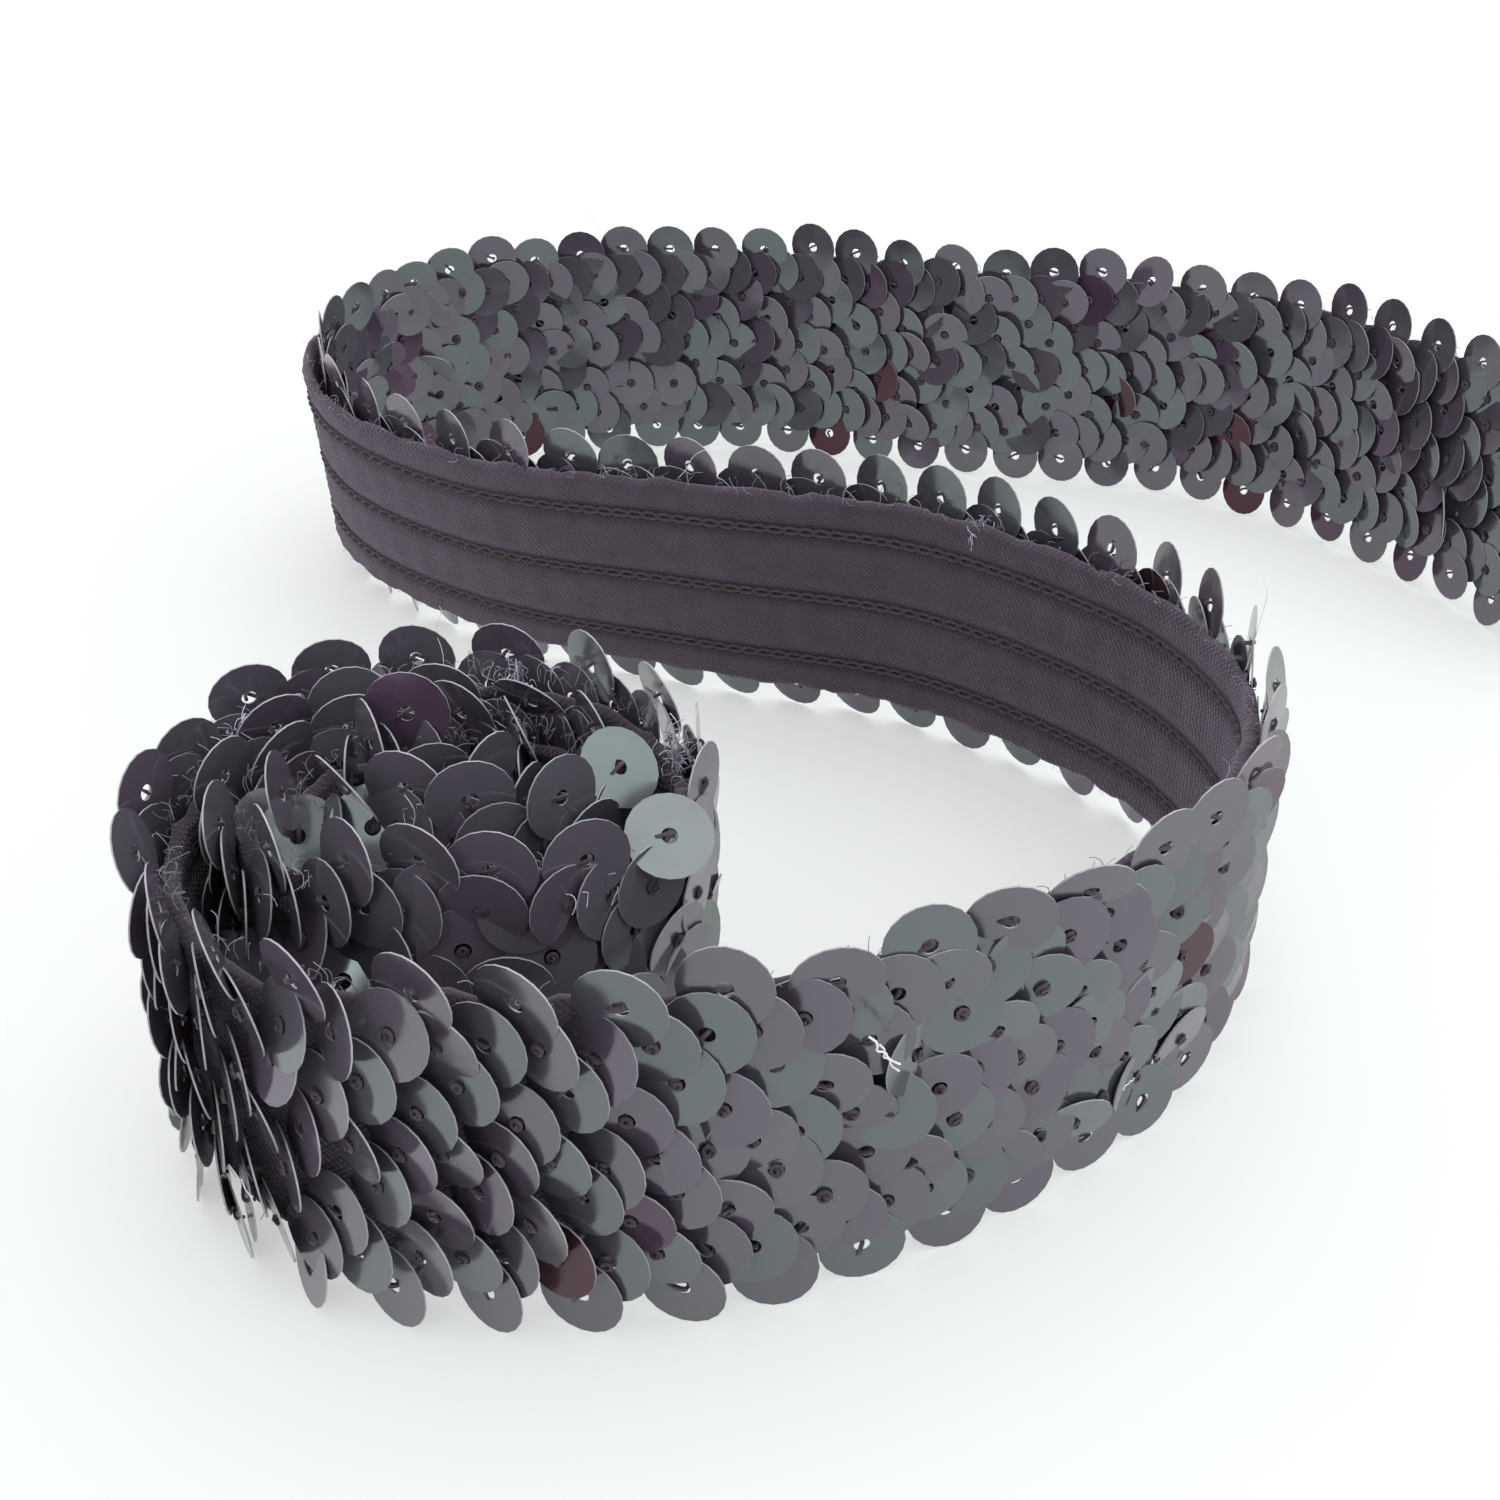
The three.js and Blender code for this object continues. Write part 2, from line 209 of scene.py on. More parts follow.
class TrimSequinSettings(bpy.types.PropertyGroup):
    """Sizes, set and finish of the sequins."""

    radius: bpy.props.FloatProperty(
        name="Radius", description="Radius of a sequin", default=0.0032, unit="LENGTH"
    )
    hole: bpy.props.FloatProperty(
        name="Hole", description="Radius of a sequin's hole", default=0.0006, unit="LENGTH"
    )
    sheet: bpy.props.FloatProperty(
        name="Sheet", description="Thickness of the plastic sheet", default=0.00013, unit="LENGTH"
    )
    sides: bpy.props.IntProperty(name="Sides", description="Sides of a sequin's rim", default=20)
    step: bpy.props.FloatProperty(
        name="Step", description="Along the trim to the next sequin", default=0.00162,
        unit="LENGTH",
    )
    swing: bpy.props.FloatProperty(
        name="Swing", description="Zigzag to each side of a row", default=0.0034, unit="LENGTH"
    )
    stand: bpy.props.FloatProperty(
        name="Stand", description="Hole off the tape's middle", default=0.0018, unit="LENGTH"
    )
    tilt: bpy.props.FloatProperty(
        name="Tilt", description="Lift of the free edge", default=math.radians(17), subtype="ANGLE"
    )
    scatter: bpy.props.FloatProperty(
        name="Scatter", description="Usual error of a tilt", default=math.radians(4.5),
        subtype="ANGLE",
    )
    colour: bpy.props.FloatVectorProperty(
        name="Colour", description="Plastic of the sequins", default=(0.072, 0.058, 0.072),
        subtype="COLOR", size=3,
    )
    # Painted highlight: the cut edge is painted paler than the plastic, for the light caught along
    # the rims.
    edge_highlight_colour: bpy.props.FloatVectorProperty(
        name="Cut edge", description="Punched edge of the plastic", default=(0.30, 0.29, 0.32),
        subtype="COLOR", size=3,
    )


class TrimTapeSettings(bpy.types.PropertyGroup):
    """Sizes and colours of the elastic tape, its thread and its loose fibres."""

    rib: bpy.props.FloatProperty(
        name="Rib", description="Width of a lengthwise rib", default=0.00104, unit="LENGTH"
    )
    rib_height: bpy.props.FloatProperty(
        name="Rib height", description="Height of a rib", default=0.00016, unit="LENGTH"
    )
    groove: bpy.props.FloatProperty(
        name="Groove", description="Depth of the groove behind a row", default=0.0004, unit="LENGTH"
    )
    ripple: bpy.props.FloatProperty(
        name="Ripple", description="Wave of the tape's edges", default=0.00035, unit="LENGTH"
    )
    thread: bpy.props.FloatProperty(
        name="Thread", description="Radius of the sewing thread", default=0.00017, unit="LENGTH"
    )
    fibres: bpy.props.IntProperty(
        name="Fibres", description="Loose fibres along the edges", default=1500
    )
    colour: bpy.props.FloatVectorProperty(
        name="Colour", description="Yarn of the tape", default=(0.041, 0.030, 0.043),
        subtype="COLOR", size=3,
    )
    # Painted shade: the yarn down in the grooves is painted darker.
    groove_painted_shade: bpy.props.FloatVectorProperty(
        name="Groove colour", description="Yarn down in the grooves", default=(0.017, 0.013, 0.018),
        subtype="COLOR", size=3,
    )
    thread_colour: bpy.props.FloatVectorProperty(
        name="Thread colour", description="Sewing thread", default=(0.030, 0.020, 0.027),
        subtype="COLOR", size=3,
    )
    fibre: bpy.props.FloatProperty(
        name="Fibre", description="Radius of a loose fibre", default=0.000033, unit="LENGTH"
    )
    fibre_colour: bpy.props.FloatVectorProperty(
        name="Fibre colour", description="Loose fibres", default=(0.20, 0.19, 0.23),
        subtype="COLOR", size=3,
    )
    end_colour: bpy.props.FloatVectorProperty(
        name="End colour", description="Pale thread ends", default=(0.62, 0.64, 0.68),
        subtype="COLOR", size=3,
    )


class TrimStageSettings(bpy.types.PropertyGroup):
    """The camera, the floor and the lights."""

    camera_place: bpy.props.FloatVectorProperty(
        name="Camera", description="Where the camera stands", default=(-0.02118, -0.163235, 0.101),
        subtype="TRANSLATION", unit="LENGTH", size=3,
    )
    camera_down: bpy.props.FloatProperty(
        name="Down", description="Camera's angle below level", default=math.radians(32.3),
        subtype="ANGLE",
    )
    lens: bpy.props.FloatProperty(
        name="Lens", description="Focal length on a 36 mm sensor, in millimetres", default=43.2
    )
    floor_colour: bpy.props.FloatVectorProperty(
        name="Floor", description="Lit paper under the trim", default=(0.90, 0.925, 0.915),
        subtype="COLOR", size=3,
    )
    room: bpy.props.FloatProperty(
        name="Room", description="Strength of the even light from all round", default=0.88
    )


def settings():
    """The scene's sizes and colours for the trim."""
    return bpy.context.scene.sequin_trim


# Ways of making


def deselect():
    """Leaves edit mode and nothing selected."""
    if bpy.context.object and bpy.context.object.mode != "OBJECT":
        bpy.ops.object.mode_set(mode="OBJECT")
    bpy.ops.object.select_all(action="DESELECT")


def modelled():
    """The object in hand, back in object mode with its place applied to its mesh."""
    if bpy.context.object.mode != "OBJECT":
        bpy.ops.object.mode_set(mode="OBJECT")
    bpy.ops.object.transform_apply(location=True, rotation=True, scale=True)
    return bpy.context.object


def apply_modifier(piece, kind, **values):
    """Adds one modifier with its values and applies it."""
    modifier = piece.modifiers.new(kind.title(), kind)
    for name, value in values.items():
        setattr(modifier, name, value)
    bpy.ops.object.modifier_apply(modifier=modifier.name)


def read(items, name, width, kind):
    """One property of all vertices, corners or faces as an array."""
    values = np.empty(len(items) * width, kind)
    items.foreach_get(name, values)
    return values.reshape(-1, width) if width > 1 else values


def mark(mesh, name, values):
    """Gives every vertex a colour that its materials read by name."""
    colours = np.ones((len(values), 4), np.float32)
    colours[:, :3] = values
    layer = mesh.attributes.new(name, "FLOAT_COLOR", "POINT")
    layer.data.foreach_set("color", colours.ravel())


def copied(name, master, turns, places, tints, sharp, face_slots=None):
    """One joined piece with a copy of the master at each place, in metres.

    Each turn has the master's x, y and z directions as its rows. The copy's tint goes to a
    colour attribute, and edges sharper than the angle stay sharp. Face slots are the numbers of
    the materials that the copies take where the master has its first.
    """
    shape = master.data
    points = read(shape.vertices, "co", 3, np.float32)
    corners = read(shape.loops, "vertex_index", 1, np.int32)
    starts = read(shape.polygons, "loop_start", 1, np.int32)
    slots = read(shape.polygons, "material_index", 1, np.int32)
    copies = np.arange(len(places))[:, None]
    mesh = bpy.data.meshes.new(name)
    mesh.vertices.add(len(places) * len(points))
    mesh.vertices.foreach_set("co", (points @ turns + places[:, None, :]).ravel())
    mesh.loops.add(len(places) * len(corners))
    mesh.loops.foreach_set("vertex_index", (corners + copies * len(points)).ravel())
    mesh.polygons.add(len(places) * len(starts))
    mesh.polygons.foreach_set("loop_start", (starts + copies * len(corners)).ravel())
    used = np.tile(slots, (len(places), 1))
    if face_slots is not None:
        used = np.where(used == 0, face_slots[:, None], used)
    mesh.polygons.foreach_set("material_index", used.ravel().astype(np.int32))
    mesh.update(calc_edges=True)
    if shape.uv_layers:
        flat = read(shape.uv_layers[0].data, "uv", 2, np.float32)
        layer = mesh.uv_layers.new(name=shape.uv_layers[0].name)
        layer.data.foreach_set("uv", np.tile(flat.ravel(), len(places)))
    mark(mesh, "tint", np.repeat(tints, len(points), axis=0))
    for material in shape.materials:
        mesh.materials.append(material)
    piece = bpy.data.objects.new(name, mesh)
    bpy.context.collection.objects.link(piece)
    deselect()
    piece.select_set(True)
    bpy.context.view_layer.objects.active = piece
    bpy.ops.object.shade_smooth_by_angle(angle=sharp)
    return piece


def joined(parts):
    """The parts' arrays end to end, each kind with its own kind."""
    return [np.concatenate(values) for values in zip(*parts)]


def forget(master):
    """Takes a master out of the scene once its copies are made."""
    bpy.data.objects.remove(master, do_unlink=True)


def finished(piece, slot, *nodes):
    """Hands a finished piece to the frame."""
    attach(piece, BODY)
    if nodes:
        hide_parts(*nodes)
    return piece


# Materials


class Nodes:
    """A material's node tree, with short calls to add and link its nodes."""

    def __init__(self, tree):
        self.tree = tree

    def give(self, node, inputs):
        """Links each of a node's inputs to a socket, or sets it to a number or colour."""
        for name, value in inputs.items():
            if isinstance(value, bpy.types.NodeSocket):
                self.tree.links.new(value, node.inputs[name])
            else:
                node.inputs[name].default_value = value

    def add(self, kind, inputs=None, **values):
        """A node with its inputs and its own values."""
        node = self.tree.nodes.new(kind)
        for name, value in values.items():
            setattr(node, name, value)
        self.give(node, inputs or {})
        return node

    def math(self, operation, first, second=0.0):
        """The outcome of one operation on two values."""
        return self.add("ShaderNodeMath", {0: first, 1: second}, operation=operation).outputs[0]

    def ramp(self, value, low, high, start=0.0, end=1.0):
        """The value turned from the range start to end into the range low to high."""
        inputs = {"Value": value, "From Min": start, "From Max": end, "To Min": low, "To Max": high}
        return self.add("ShaderNodeMapRange", inputs).outputs[0]

    def mix(self, share, first, second):
        """A colour from the first at a share of 0 to the second at 1."""
        node = self.add("ShaderNodeMix", data_type="RGBA")
        for name, value in (("Factor", share), ("A", first), ("B", second)):
            socket = next(i for i in node.inputs if i.name == name and i.enabled)
            if isinstance(value, bpy.types.NodeSocket):
                self.tree.links.new(value, socket)
            else:
                socket.default_value = value if name == "Factor" else (*value, 1.0)
        return next(o for o in node.outputs if o.enabled)

    def multiply(self, first, second):
        """One colour times another."""
        node = self.add("ShaderNodeVectorMath", {0: first, 1: second}, operation="MULTIPLY")
        return node.outputs[0]

    def noise(self, place, scale, detail, roughness=0.5):
        """Noise of this scale, in waves per unit of the place."""
        inputs = {"Vector": place, "Scale": scale, "Detail": detail, "Roughness": roughness}
        return self.add("ShaderNodeTexNoise", inputs).outputs["Fac"]

    def bump(self, strength, distance, height, **normal):
        """The normal of a surface raised by the height."""
        inputs = {"Strength": strength, "Distance": distance, "Height": height, **normal}
        return self.add("ShaderNodeBump", inputs).outputs["Normal"]

    def place(self):
        """Object coordinates."""
        return self.add("ShaderNodeTexCoord").outputs["Object"]


def new_material(name):
    """An empty material with its shader, and the calls to add nodes to it."""
    material = bpy.data.materials.new(name)
    material.use_nodes = True
    shader = material.node_tree.nodes["Principled BSDF"]
    return material, Nodes(material.node_tree), shader


def handling_group():
    """Shader group: faint scuffs and smears of handled plastic, at a scale in waves per metre."""
    tree = bpy.data.node_groups.new("handling marks", "ShaderNodeTree")
    tree.interface.new_socket("Coordinates", in_out="INPUT", socket_type="NodeSocketVector")
    scale = tree.interface.new_socket("Scale", in_out="INPUT", socket_type="NodeSocketFloat")
    scale.default_value = 400.0
    tree.interface.new_socket("Smear", in_out="OUTPUT", socket_type="NodeSocketFloat")
    tree.interface.new_socket("Scuff", in_out="OUTPUT", socket_type="NodeSocketFloat")
    nodes = Nodes(tree)
    given = nodes.add("NodeGroupInput").outputs
    fine = nodes.math("MULTIPLY", given["Scale"], 6.0)
    smear = nodes.noise(given["Coordinates"], given["Scale"], 3.0)
    scuff = nodes.noise(given["Coordinates"], fine, 2.0, 0.7)
    nodes.add("NodeGroupOutput", {"Smear": smear, "Scuff": scuff})
    return tree


def sequin_material(group, name, dye_and_reflection_tint):
    """Gloss plastic sheet of one lot, its tint partly dye and partly a painted reflection colour:
    its shade and gloss change a little from disc to disc.
    """
    colour = np.array(settings().sequins.colour) * dye_and_reflection_tint
    material, nodes, shader = new_material(f"{name} black sequin")
    place = nodes.place()
    tint = nodes.add("ShaderNodeAttribute", attribute_name="tint").outputs["Color"]
    marks = nodes.add("ShaderNodeGroup", node_tree=group)
    nodes.give(marks, {"Coordinates": place, "Scale": 260.0})
    cupped = nodes.bump(0.35, 0.0004, nodes.noise(place, 170.0, 1.0))
    shine = {
        "Base Color": nodes.multiply(tint, tuple(colour)),
        # Painted reflection colour: the lot's tint colours the sheet's reflections.
        "Specular Tint": (*dye_and_reflection_tint, 1.0),
        "IOR": 1.9,
        "Specular IOR Level": 0.62,
        "Roughness": nodes.ramp(marks.outputs["Smear"], 0.10, 0.24, 0.35, 0.7),
        "Normal": nodes.bump(0.12, 0.00003, marks.outputs["Scuff"], Normal=cupped),
    }
    nodes.give(shader, shine)
    return material


def cut_edge_material():
    """The punched edge of the plastic, rougher than its faces and painted paler, a painted
    highlight along the rims.
    """
    material, nodes, shader = new_material("punched sequin edge")
    grain = nodes.noise(nodes.place(), 1500.0, 1.0)
    colour = np.array(settings().sequins.edge_highlight_colour)
    shade = nodes.mix(grain, tuple(colour * 0.7), tuple(colour * 1.3))
    nodes.give(shader, {"Base Color": shade, "Roughness": 0.32})
    return material


def tape_material():
    """Ribbed elastic: yarn ribs along it, fine picks across it, painted shade in its grooves, on
    its sequin side and in the roll.
    """
    tape = settings().tape
    material, nodes, shader = new_material("ribbed elastic")
    flat = nodes.add("ShaderNodeUVMap", uv_map="cloth").outputs["UV"]
    split = nodes.add("ShaderNodeSeparateXYZ", {"Vector": flat})
    along, across = split.outputs["X"], split.outputs["Y"]
    groove = nodes.add("ShaderNodeAttribute", attribute_name="tint").outputs["Fac"]
    yarn = np.array(tape.colour)
    lively = nodes.mix(nodes.noise(flat, 0.35, 4.0), tuple(yarn * 0.7), tuple(yarn * 1.7))
    picks = nodes.math("SINE", nodes.math("MULTIPLY", along, 2 * math.pi / 0.62))
    ribs = nodes.math("SINE", nodes.math("MULTIPLY", across, 2 * math.pi / 0.52))
    weave = nodes.math("MULTIPLY", picks, ribs)
    fuzz = nodes.noise(flat, 3.2, 3.0)
    height = nodes.math("ADD", nodes.math("MULTIPLY", weave, 0.35), fuzz)
    cloth = {
        # Painted shade in the grooves, on the sequin side and in the roll, read from the tint
        # attribute.
        "Base Color": nodes.mix(groove, tuple(tape.groove_painted_shade), lively),
        "Normal": nodes.bump(0.9, 0.00018, height),
        "Roughness": 0.95,
        "Sheen Weight": 0.35,
        "Sheen Roughness": 0.5,
        "Sheen Tint": (0.62, 0.52, 0.66, 1.0),
    }
    nodes.give(shader, cloth)
    return material


def yarn_material(name, colour, sheen):
    """Twisted yarn, for the sewing thread and for the loose fibres."""
    material, nodes, shader = new_material(name)
    twist = nodes.noise(nodes.place(), 2600.0, 2.0)
    pale = tuple(min(1.0, c * 1.8) for c in colour)
    shade = nodes.mix(twist, tuple(c * 0.6 for c in colour), pale)
    tint = nodes.add("ShaderNodeAttribute", attribute_name="tint").outputs["Color"]
    yarn = {
        "Base Color": nodes.multiply(shade, tint),
        "Normal": nodes.bump(0.6, 0.00005, twist),
        "Roughness": 0.7,
        "Sheen Weight": sheen,
        "Sheen Roughness": 0.4,
    }
    nodes.give(shader, yarn)
    return material


# The sequins

DISC_SHARP = math.radians(40)


def sequin_master():
    """One flat sequin with its hole, in metres, lying level with its face up."""
    sequins = settings().sequins
    deselect()
    bpy.ops.mesh.primitive_circle_add(
        vertices=sequins.sides, radius=sequins.radius, fill_type="NOTHING", enter_editmode=True
    )
    bpy.ops.mesh.extrude_edges_indiv()
    shrink = sequins.hole / sequins.radius
    bpy.ops.transform.resize(value=(shrink, shrink, 1.0))
    bpy.ops.mesh.select_all(action="SELECT")
    bpy.ops.mesh.normals_make_consistent(inside=False)
    master = modelled()
    apply_modifier(master, "SOLIDIFY", thickness=sequins.sheet, offset=0.0)
    mesh = master.data
    group = bpy.data.node_groups.get("handling marks") or handling_group()
    for name, dye_and_reflection_tint, _, _ in DYE_AND_REFLECTION_TINTS:
        mesh.materials.append(sequin_material(group, name, dye_and_reflection_tint))
    mesh.materials.append(cut_edge_material())
    for face in mesh.polygons:
        face.material_index = 0 if abs(face.normal.z) > 0.5 else len(DYE_AND_REFLECTION_TINTS)
    layer = mesh.uv_layers.new(name="disc")
    for corner in mesh.loops:
        place = mesh.vertices[corner.vertex_index].co
        layer.data[corner.index].uv = (
            0.5 + place.x / sequins.radius / 2,
            0.5 + place.y / sequins.radius / 2,
        )
    return master


def hole_heights(number):
    """Height of each sequin's hole off the middle of its row: up, half way, down, half way."""
    swing = settings().sequins.swing / MM
    beat = np.mod(number, ZIGZAG_SEQUINS)
    return swing * (np.abs(beat - ZIGZAG_SEQUINS / 2) - 1)


def sequin_numbers(wound):
    """Numbers of the sequins of one row, 0 just past where the trim leaves the roll."""
    step = settings().sequins.step / MM
    if wound:
        return np.arange(-int((GAP - INNER_END - 2) / step), 0)
    return np.arange(int((CUT_END - GAP) / step) + 1)


# Plastic dyed black varies, and each tint also colours the reflections, a painted reflection
# colour:
# name and tint, and how often each turns up loose and in the roll.
DYE_AND_REFLECTION_TINTS = (
    ("greenish", (0.80, 0.95, 0.93), 0.34, 0.30),
    ("greyish", (0.82, 0.86, 0.89), 0.30, 0.40),
    ("violet", (0.81, 0.77, 0.87), 0.29, 0.28),
    ("plum", (0.54, 0.39, 0.54), 0.045, 0.015),
    ("wine", (0.44, 0.25, 0.29), 0.025, 0.005),
)
WOUND_PAINTED_LIGHT = 1.5  # painted light: sequins in the roll are painted this much paler, to lift the shade they cast on one another
# The usual errors of the sewing, in millimetres: along the trim, up it and off it.
PLACE_ERROR = 0.22
HEIGHT_ERROR = 0.3
STAND_ERROR = 0.12
LEG_LEAN = 5.0  # a sequin leans this many degrees with its leg of the zigzag
WOUND_SCATTER = 1.25  # tilts err this many times more in the roll
OFF_FLOOR = 0.05  # the lowest rims stay this far off the floor
# One sequin in twelve or so was sewn or bent far out of its place: how many times the usual error.
WILD_SHARE = 0.08
WILD = 3.0
WILD_WOUND = 2.0
# Sequins of the roll turned up so that they catch the light, given the greenish tint as a painted
# reflection colour of that light: row, number, lift and lean in degrees, and how far they stand
# out.
TURNED_REFLECTION_TINT = 0
TURNED = (
    ("top", -60, 50, -52, 0.3),
    ("top", -112, 52, -44, 0.3),
    ("top", -126, -15, -36, -0.2),
    ("top", -127, -20, -32, -0.3),
    ("top", -131, -50, -44, -0.1),
    ("top", -133, 40, 46, 0.0),
    ("middle", -76, -20, -34, -0.3),
    ("middle", -80, -40, -42, -0.1),
    ("middle", -83, -55, -46, 0.0),
)
# The highest sequins of the roll flop over the tape's edge at its back, by this many degrees, and
# lean out a little at its front.
FLOP_BACK = -18.0
FLOP_FRONT = 5.0
# The free edges stand up more where the trim comes off the roll: distance along it, and degrees.
OPENED = ((-60.0, 0.0), (-20.0, 6.0), (-4.0, 13.0), (12.0, 11.0), (22.0, -1.0), (60.0, -4.0))


def sequin_places(row, wound):
    """Turn, place, tint and face slot of each sequin of one row."""
    sequins = settings().sequins
    number = sequin_numbers(wound)
    luck = np.random.default_rng(100 * row + 7 * wound + 1)
    count = len(number)
    step = sequins.step / MM
    s = GAP + step * number + luck.normal(0, PLACE_ERROR, count)
    high = ROW_HEIGHTS[row] + hole_heights(number) + luck.normal(0, HEIGHT_ERROR, count)
    leg = np.where(np.mod(number, ZIGZAG_SEQUINS) < ZIGZAG_SEQUINS / 2, 1.0, -1.0)
    foot, up, out, along = LINE.at(np.clip(s, INNER_END, CUT_END))
    spread = sequins.scatter * (WOUND_SCATTER if wound else 1.0)
    wild = WILD_WOUND if wound else WILD
    spread = spread * np.where(luck.random(count) < WILD_SHARE, wild, 1.0)
    opened = np.radians(np.interp(s, *zip(*OPENED)))
    lift = sequins.tilt + opened + luck.normal(0, spread, count)
    lean = np.radians(LEG_LEAN) * leg + luck.normal(0, spread, count)
    stand = sequins.stand / MM + luck.normal(0, STAND_ERROR, count)
    if wound and row == 2:
        flop = np.interp(out[:, 1], (-0.3, 0.3), (FLOP_FRONT, FLOP_BACK))
        lean += np.radians(flop) * np.maximum(hole_heights(number) / (sequins.swing / MM), -0.3)
    for name, turned, turned_lift, turned_lean, proud in TURNED if wound else ():
        if name == ROW_NAMES[row]:
            lift[turned] = math.radians(turned_lift)
            lean[turned] = math.radians(turned_lean)
            stand[turned] += proud

    def column(values):
        return values[:, None]

    right = along * column(np.cos(lift)) + out * column(np.sin(lift))
    face = out * column(np.cos(lift)) - along * column(np.sin(lift))
    above = up * column(np.cos(lean)) + face * column(np.sin(lean))
    face = np.cross(right, above)
    place = foot + up * column(high) + out * column(stand)
    reach = sequins.radius / MM * np.hypot(right[:, 2], above[:, 2])
    place[:, 2] = np.maximum(place[:, 2], reach + OFF_FLOOR)
    shares = [dye_and_reflection_tint[3 if wound else 2] for dye_and_reflection_tint in DYE_AND_REFLECTION_TINTS]
    face_slots = luck.choice(len(DYE_AND_REFLECTION_TINTS), count, p=shares)
    if wound:
        face_slots[[turned for name, turned, *_ in TURNED if name == ROW_NAMES[row]]] = TURNED_REFLECTION_TINT
    # Each sequin's shade differs a little at random, and in the roll it is painted paler, a painted
    # lift of the shade there.
    shade = luck.uniform(0.85, 1.0, count) * (WOUND_PAINTED_LIGHT if wound else 1.0)
    tints = np.repeat(column(shade), 3, axis=1)
    turns = np.stack([right, above, face], axis=1)
    return turns, place * MM, tints, face_slots


class OBJECT_OT_trim_sequins(bpy.types.Operator):
    """Sews three zigzag rows of overlapping sequins along the loose trim and round the roll"""

    bl_idname = "object.trim_sequins"
    bl_label = "Sequins"

    def execute(self, context):
        master = sequin_master()
        for row, name in enumerate(ROW_NAMES):
            loose = (f"sequins_{name}", f"sequin_row_{name}", False)
            for piece_name, node, wound in (loose, (f"roll_sequins_{name}", "wound_roll", True)):
                turns, places, tints, face_slots = sequin_places(row, wound)
                piece = copied(piece_name, master, turns, places, tints, DISC_SHARP, face_slots)
                finished(piece, "sequins", node)
        forget(master)
        return {"FINISHED"}


# The thread

YARN_SHARP = math.radians(80)


def thread_master(name, route, radius, material):
    """A short length of yarn through the points of its route, in metres."""
    deselect()
    bpy.ops.curve.primitive_nurbs_path_add()
    path = bpy.context.object
    path.name = name
    path.data.splines.clear()
    spline = path.data.splines.new("NURBS")
    spline.points.add(len(route) - 1)
    for point, place in zip(spline.points, route):
        point.co = (*place, 1.0)
    spline.use_endpoint_u = True
    spline.order_u = 3
    path.data.resolution_u = 2
    path.data.bevel_depth = radius
    path.data.bevel_resolution = 0
    path.data.use_fill_caps = True
    bpy.ops.object.convert(target="MESH")
    master = modelled()
    master.data.materials.clear()
    master.data.materials.append(material)
    return master


# The stitches in a sequin's hole, in millimetres in the sequin's own directions. A knot comes up
# through the hole and lies over itself; a strand crosses the hole and goes off under the next edge.
KNOT = (
    (0.15, 0.05, -0.45),
    (0.42, 0.20, 0.05),
    (0.18, 0.46, 0.26),
    (-0.34, 0.30, 0.16),
    (-0.42, -0.24, 0.24),
    (0.14, -0.44, 0.16),
    (0.44, -0.02, 0.28),
    (0.05, 0.28, 0.38),
    (-0.20, -0.06, 0.32),
    (0.06, -0.24, -0.10),
)
STRAND = (
    (0.30, 0.12, -0.45),
    (0.34, 0.16, 0.10),
    (0.10, 0.20, 0.30),
    (-0.28, 0.02, 0.22),
    (-0.66, -0.14, 0.12),
    (-0.98, -0.24, -0.06),
)
STRAND_SHARE = 0.22
# A chain stitch on the tape's back: along, up, and off the tape.
CHAIN = (
    (-1.1, 0.0, 0.05),
    (-0.6, 0.32, 0.14),
    (0.4, 0.36, 0.16),
    (0.95, 0.0, 0.22),
    (0.4, -0.36, 0.16),
    (-0.6, -0.32, 0.14),
    (-1.1, 0.0, 0.05),
)


def stitch_places(row, wound, strands, luck):
    """Turn, place and tint of the knots of one row, or of its strands."""
    turns, place, *_ = sequin_places(row, wound)
    beat = np.mod(sequin_numbers(wound), ZIGZAG_SEQUINS)
    outer = {0: beat == ZIGZAG_SEQUINS / 2, 2: beat == 0}.get(row, np.zeros(len(beat), bool))
    crossing = outer | (np.random.default_rng(row).random(len(beat)) < STRAND_SHARE)
    chosen = crossing == strands
    turns, place = turns[chosen], place[chosen]
    count = len(place)
    turn = luck.normal(0, 0.6, count) if strands else luck.uniform(0, 2 * math.pi, count)
    turn, size = turn[:, None], luck.uniform(0.8, 1.15, count)[:, None]
    right = turns[:, 0] * np.cos(turn) + turns[:, 1] * np.sin(turn)
    above = np.cross(turns[:, 2], right)
    turns = np.stack([right * size, above * size, turns[:, 2] * size], axis=1)
    return turns, place, np.repeat(luck.uniform(0.7, 1.3, count)[:, None], 3, axis=1)


